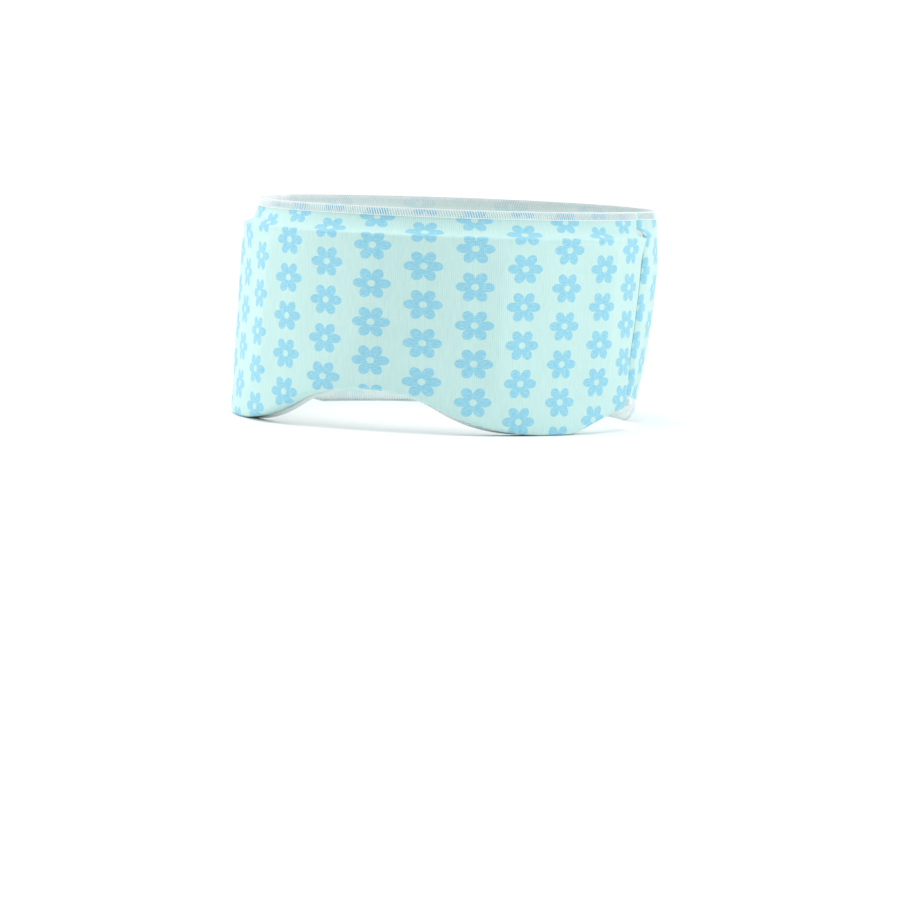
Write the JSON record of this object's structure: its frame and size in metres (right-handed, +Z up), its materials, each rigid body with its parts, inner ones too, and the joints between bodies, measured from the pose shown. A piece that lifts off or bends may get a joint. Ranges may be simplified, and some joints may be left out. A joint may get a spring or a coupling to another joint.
{
  "type": "eye pillow",
  "caption": "Slip-on stretch eye pillow: a flower-printed band worn round the head, with a channelled gel pack in a pocket over the eyes.",
  "frame": {"origin": "under the middle of the band, on the surface that its lower edge stands on", "axes": "+Z up the head, -Y out of the face, +X towards the wearer's left ear"},
  "size_m": [0.172, 0.2101, 0.09],
  "materials": {
    "front_print": "brushed stretch knit, mint with printed sky-blue flowers",
    "back_print": "brushed stretch knit, mint with printed sky-blue flowers",
    "lining": "plain off-white knit",
    "thread": "white three-thread overlock",
    "label": "blank satin tape",
    "film": "clear soft film, welded",
    "gel": "soft blue gel"
  },
  "bodies": {
    "cover": {"inner_front_panel": "lining", "outer_front_panel": "front_print", "back_panel": "back_print", "left_side_seam": "front_print", "right_side_seam": "front_print", "bottom_seam": "front_print", "inner_top_overlock": "thread", "outer_top_overlock": "thread", "back_top_overlock": "thread", "back_bottom_overlock": "thread", "care_label": "label"},
    "gel_pack": {"pack_front_film": "film", "pack_back_film": "film", "pack_welds": "film", "gel_cell_01": "gel", "gel_cell_02": "gel", "gel_cell_03": "gel", "gel_cell_04": "gel", "gel_cell_05": "gel", "gel_cell_06": "gel", "gel_cell_07": "gel", "gel_cell_08": "gel", "gel_cell_09": "gel", "gel_cell_10": "gel", "gel_cell_11": "gel", "gel_cell_12": "gel"}
  },
  "joints": [
    {"name": "gel_pack_slide", "type": "slide", "parent": "cover", "child": "gel_pack", "axis": [0, 0.1045, 0.9945], "range_m": [0, 0.094], "deforming": ["outer_front_panel", "outer_top_overlock"]}
  ]
}
